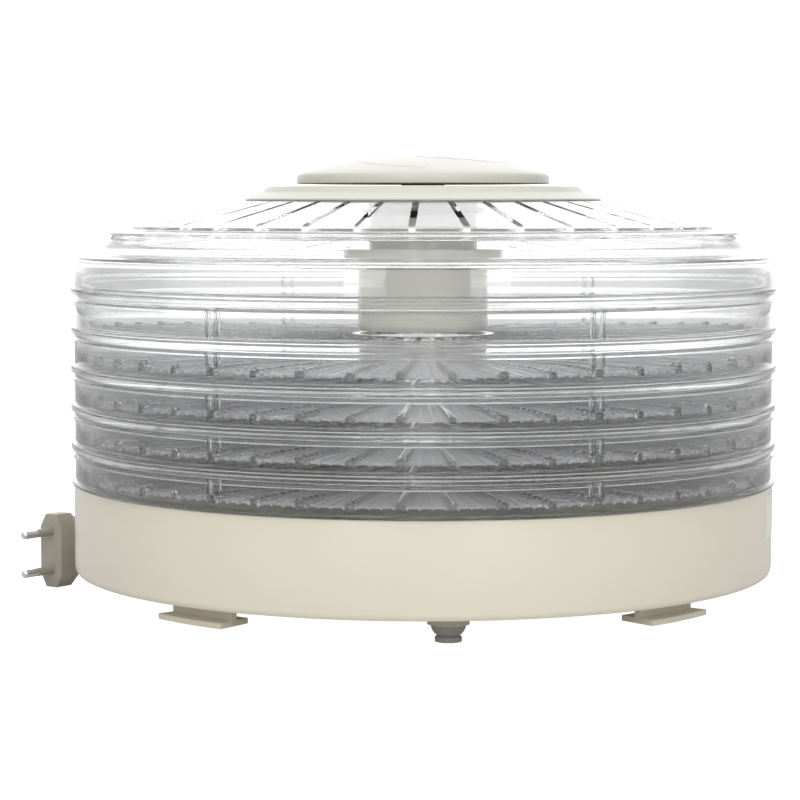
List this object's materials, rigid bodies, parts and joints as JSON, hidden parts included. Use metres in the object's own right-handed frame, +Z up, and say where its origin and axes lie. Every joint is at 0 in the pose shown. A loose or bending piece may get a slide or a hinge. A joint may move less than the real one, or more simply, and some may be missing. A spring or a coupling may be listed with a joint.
{
  "type": "food dehydrator",
  "caption": "Round food dehydrator: motor base with fan and heater, clear stacking trays, a floorless ring, slotted clear lid with a turning vent.",
  "frame": {"origin": "on the floor below the centre of the stack", "axes": "+Z up along the stack's axis, front towards -Y"},
  "size_m": [0.3523, 0.4383, 0.2064],
  "materials": {
    "base_plastic": "smooth moulded, slightly glossy",
    "cover_plastic": "moulded, satin",
    "clear_plastic": "clear moulded plastic",
    "white_plastic": "smooth moulded, slightly glossy",
    "foot_rubber": "soft moulded",
    "dark_rubber": "soft moulded",
    "steel": "zinc plated",
    "lamination": "stacked sheet steel",
    "winding": "enamelled copper wire",
    "brass": "machined",
    "aluminium": "rolled sheet",
    "fan_plastic": "moulded, satin",
    "mica": "pressed sheet",
    "heater_wire": "oxidised resistance wire",
    "terminal_plastic": "moulded, satin",
    "cord_plastic": "soft extruded sheath",
    "plug_plastic": "moulded, satin",
    "lead_plastic": "thin insulation",
    "pin_metal": "nickel plated",
    "sleeve_plastic": "moulded sleeve"
  },
  "bodies": {
    "base": {"base_housing": "base_plastic", "bottom_cover": "cover_plastic", "outlet_grille": "base_plastic", "foot_1": "foot_rubber", "foot_2": "foot_rubber", "foot_3": "foot_rubber", "motor_stator": "lamination", "motor_coil": "winding", "motor_bracket_lower": "steel", "motor_bracket_upper": "steel", "bush_lower": "brass", "bush_upper": "brass", "motor_screws": "steel", "mount_screws": "steel", "fan_duct": "aluminium", "heater_coils": "heater_wire", "heater_frame": "mica", "thermostat": "brass", "thermal_fuse": "aluminium", "terminal_block": "terminal_plastic", "terminal_screws": "brass", "cord_tail": "cord_plastic", "cord_clamp": "terminal_plastic", "clamp_screws": "steel", "motor_leads": "lead_plastic", "cover_screws": "steel", "duct_screws": "steel", "strain_relief": "cord_plastic", "cord_run": "cord_plastic", "cord_coil": "cord_plastic", "cord_lead": "cord_plastic", "plug_body": "plug_plastic", "plug_pins": "pin_metal", "plug_pin_sleeves": "sleeve_plastic"},
    "fan": {"motor_shaft": "steel", "motor_rotor": "lamination", "fan_impeller": "fan_plastic"},
    "tray_1_body": {"tray_1": "clear_plastic"},
    "tray_2_body": {"tray_2": "clear_plastic"},
    "tray_3_body": {"tray_3": "clear_plastic"},
    "tray_4_body": {"tray_4": "clear_plastic"},
    "spacer_ring_body": {"spacer_ring": "clear_plastic"},
    "lid_body": {"lid": "clear_plastic", "vent_collar": "white_plastic"},
    "vent_body": {"vent_knob": "white_plastic", "vent_shutter": "white_plastic", "vent_cup": "white_plastic", "vent_screw": "steel", "vent_seal": "dark_rubber"}
  },
  "joints": [
    {"name": "tray_1_lift", "type": "slide", "parent": "base", "child": "tray_1_body", "axis": [0, 0, 1], "range_m": [0, 0.04]},
    {"name": "tray_2_lift", "type": "slide", "parent": "tray_1_body", "child": "tray_2_body", "axis": [0, 0, 1], "range_m": [0, 0.04]},
    {"name": "tray_3_lift", "type": "slide", "parent": "tray_2_body", "child": "tray_3_body", "axis": [0, 0, 1], "range_m": [0, 0.04]},
    {"name": "tray_4_lift", "type": "slide", "parent": "tray_3_body", "child": "tray_4_body", "axis": [0, 0, 1], "range_m": [0, 0.04]},
    {"name": "ring_lift", "type": "slide", "parent": "tray_4_body", "child": "spacer_ring_body", "axis": [0, 0, 1], "range_m": [0, 0.04]},
    {"name": "lid_lift", "type": "slide", "parent": "spacer_ring_body", "child": "lid_body", "axis": [0, 0, 1], "range_m": [0, 0.08]},
    {"name": "vent_turn", "type": "hinge", "parent": "lid_body", "child": "vent_body", "pos_m": [0, 0, 0.19], "axis": [0, 0, 1], "range_deg": [0, 30]},
    {"name": "fan_spin", "type": "hinge", "parent": "base", "child": "fan", "pos_m": [0, 0, 0.03], "axis": [0, 0, 1], "continuous": true}
  ]
}
